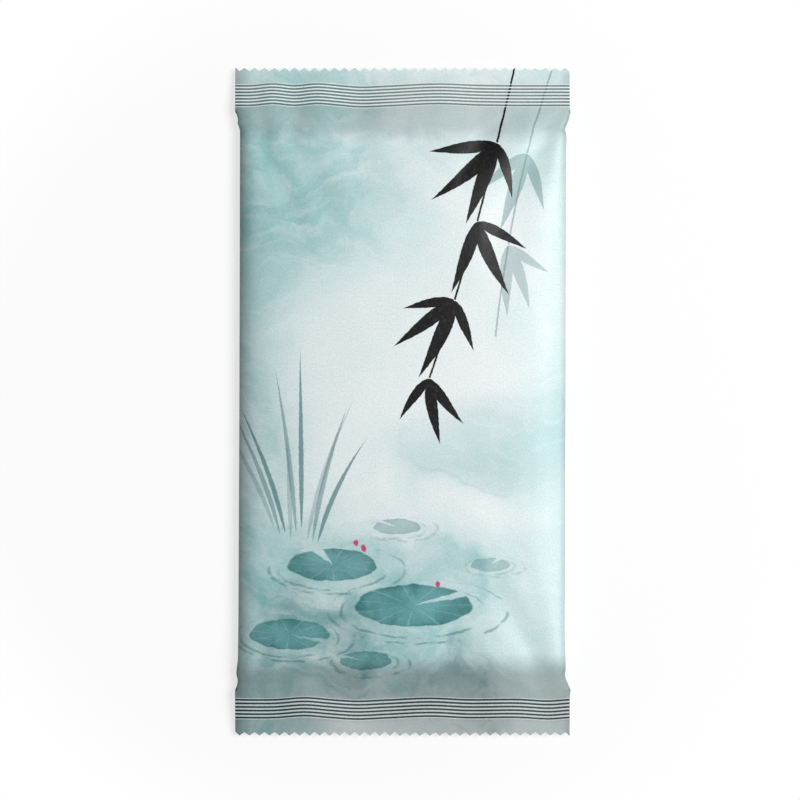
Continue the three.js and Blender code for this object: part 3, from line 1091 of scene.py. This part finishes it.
# %% Surface
grain_height = 0.018
dent_height = 0.12
knurl_height = 0.04
knurl_pitch = 0.11
fin_blur = 0.04
grain = noise(tree, flat_place, 26, 4)
speckle = calc(tree, "MULTIPLY_ADD", grain, 0.36, 0.82)
speckle_colour = joined(tree, speckle, speckle, speckle)
print_colour = layer(tree, print_colour, speckle_colour, 1.0, "MULTIPLY")
tree.links.new(print_colour, shader.inputs["Base Color"])

fin_start = (across[fin_inner[0]] - fin_root) / MM_IN_CM
from_root = calc(tree, "ABSOLUTE", calc(tree, "SUBTRACT", web["X"], fin_root / MM_IN_CM))
on_fin = fade(tree, from_root, fin_start - fin_blur, fin_start)
knurl = calc(tree, "COSINE", times(tree, web["Y"], 2 * math.pi / knurl_pitch))
dents = noise(tree, flat_place, 1.1, 3)
height = times(tree, grain, grain_height)
height = calc(tree, "MULTIPLY_ADD", dents, dent_height, height)
height = calc(tree, "MULTIPLY_ADD", times(tree, knurl, on_fin), knurl_height, height)
bump = add_node(tree, "ShaderNodeBump", {"Height": height, "Distance": MM, "Strength": 1.0})
tree.links.new(bump.outputs[0], shader.inputs["Normal"])
roughness = calc(tree, "MULTIPLY_ADD", noise(tree, flat_place, 3, 3), 0.12, 0.3)
tree.links.new(roughness, shader.inputs["Roughness"])
shader.inputs["Specular IOR Level"].default_value = 0.25
print("film material:", len(tree.nodes), "nodes")

# %% [markdown]
# ## The view
# The picture is taken from straight above. A level view with the pack stood on end would need a stand, so
# the pack lies on the table and the camera hangs over it. A short lens would see the sides lean outwards,
# so it is a long one, hung at the distance where it takes in the view's width at the height of the seals.

# %% Camera
view_width = 167.3
view_centre = (-0.5, 0.35)
camera = new_object("camera", bpy.data.cameras.new("camera"))
bpy.context.scene.camera = camera
camera.data.lens = 180
camera.data.sensor_width = 36
distance = view_width * camera.data.lens / camera.data.sensor_width + seal_height
camera.location = (view_centre[0] * MM, view_centre[1] * MM, distance * MM)
print("camera height:", round(distance), "mm")

# %% [markdown]
# ## Floor and background
# The floor is a plain pale table. Enough light to make it white would wash out the pack. So the camera
# sees its lit surface mixed with a plain white of strength 1: mostly white near the pack, where the soft
# shadow stays, and all white further out. The world behind it does the same.

# %% Floor
floor_gap = 0.02
floor_half = 2.0
shadow_share = 0.3
white_from = 0.11
floor_bm = bmesh.new()
bmesh.ops.create_grid(floor_bm, x_segments=1, y_segments=1, size=floor_half)
bmesh.ops.translate(floor_bm, verts=floor_bm.verts, vec=(0, 0, -floor_gap * MM))
floor = mesh_object("floor", floor_bm)

floor_tree = new_finish("floor", floor)
table = floor_tree.nodes["Principled BSDF"]
table.inputs["Base Color"].default_value = (0.98, 0.985, 0.985, 1)
table.inputs["Roughness"].default_value = 0.9
ground = add_node(floor_tree, "ShaderNodeTexCoord").outputs["Object"]
from_pack = vector(floor_tree, "LENGTH", ground)
far = fade(floor_tree, from_pack, pack_length / 2 * MM, white_from)
white_part = calc(floor_tree, "MULTIPLY_ADD", far, shadow_share, 1 - shadow_share)
seen = add_node(floor_tree, "ShaderNodeLightPath").outputs["Is Camera Ray"]
plain_white = add_node(floor_tree, "ShaderNodeEmission", {"Color": (1, 1, 1, 1), "Strength": 1.0})
shown = {0: times(floor_tree, white_part, seen), 1: table.outputs[0], 2: plain_white.outputs[0]}
mixed = add_node(floor_tree, "ShaderNodeMixShader", shown)
floor_tree.links.new(mixed.outputs[0], floor_tree.nodes["Material Output"].inputs["Surface"])
print("floor", floor_gap, "mm below the pack, all white from", white_from, "m out")

# %% [markdown]
# ## Light
# A small lamp would give hard shadows and bright spots on the creases. So one large soft lamp stands to
# the right and a little towards the top seal: the left side roll falls into shade and the right one
# catches a soft line of light. The even world light fills the rest.

# %% Lamps and world
key_direction = (0.53, 0.13, 0.84)
key_distance = 1.1
key = new_object("key_light", bpy.data.lights.new("key_light", "AREA"))
key.data.shape = "DISK"
key.data.size = 0.7
key.data.energy = 11.5
key.location = [key_distance * part for part in key_direction]
key.rotation_euler = key.location.to_track_quat("Z", "Y").to_euler()

world = bpy.data.worlds.new("studio")
bpy.context.scene.world = world
world.use_nodes = True
sky = world.node_tree
fill_light = 0.2
seen = add_node(sky, "ShaderNodeLightPath").outputs["Is Camera Ray"]
strength = calc(sky, "MULTIPLY_ADD", seen, 1 - fill_light, fill_light)
sky.nodes["Background"].inputs["Color"].default_value = (1, 1, 1, 1)
sky.links.new(strength, sky.nodes["Background"].inputs["Strength"])
bpy.context.scene.view_settings.view_transform = "Standard"
print("key light:", key.data.energy, "W,", key.data.size, "m wide; fill", fill_light)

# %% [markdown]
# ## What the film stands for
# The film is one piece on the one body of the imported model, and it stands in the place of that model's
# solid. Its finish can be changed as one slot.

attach(film, "root")
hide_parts(SOLID)
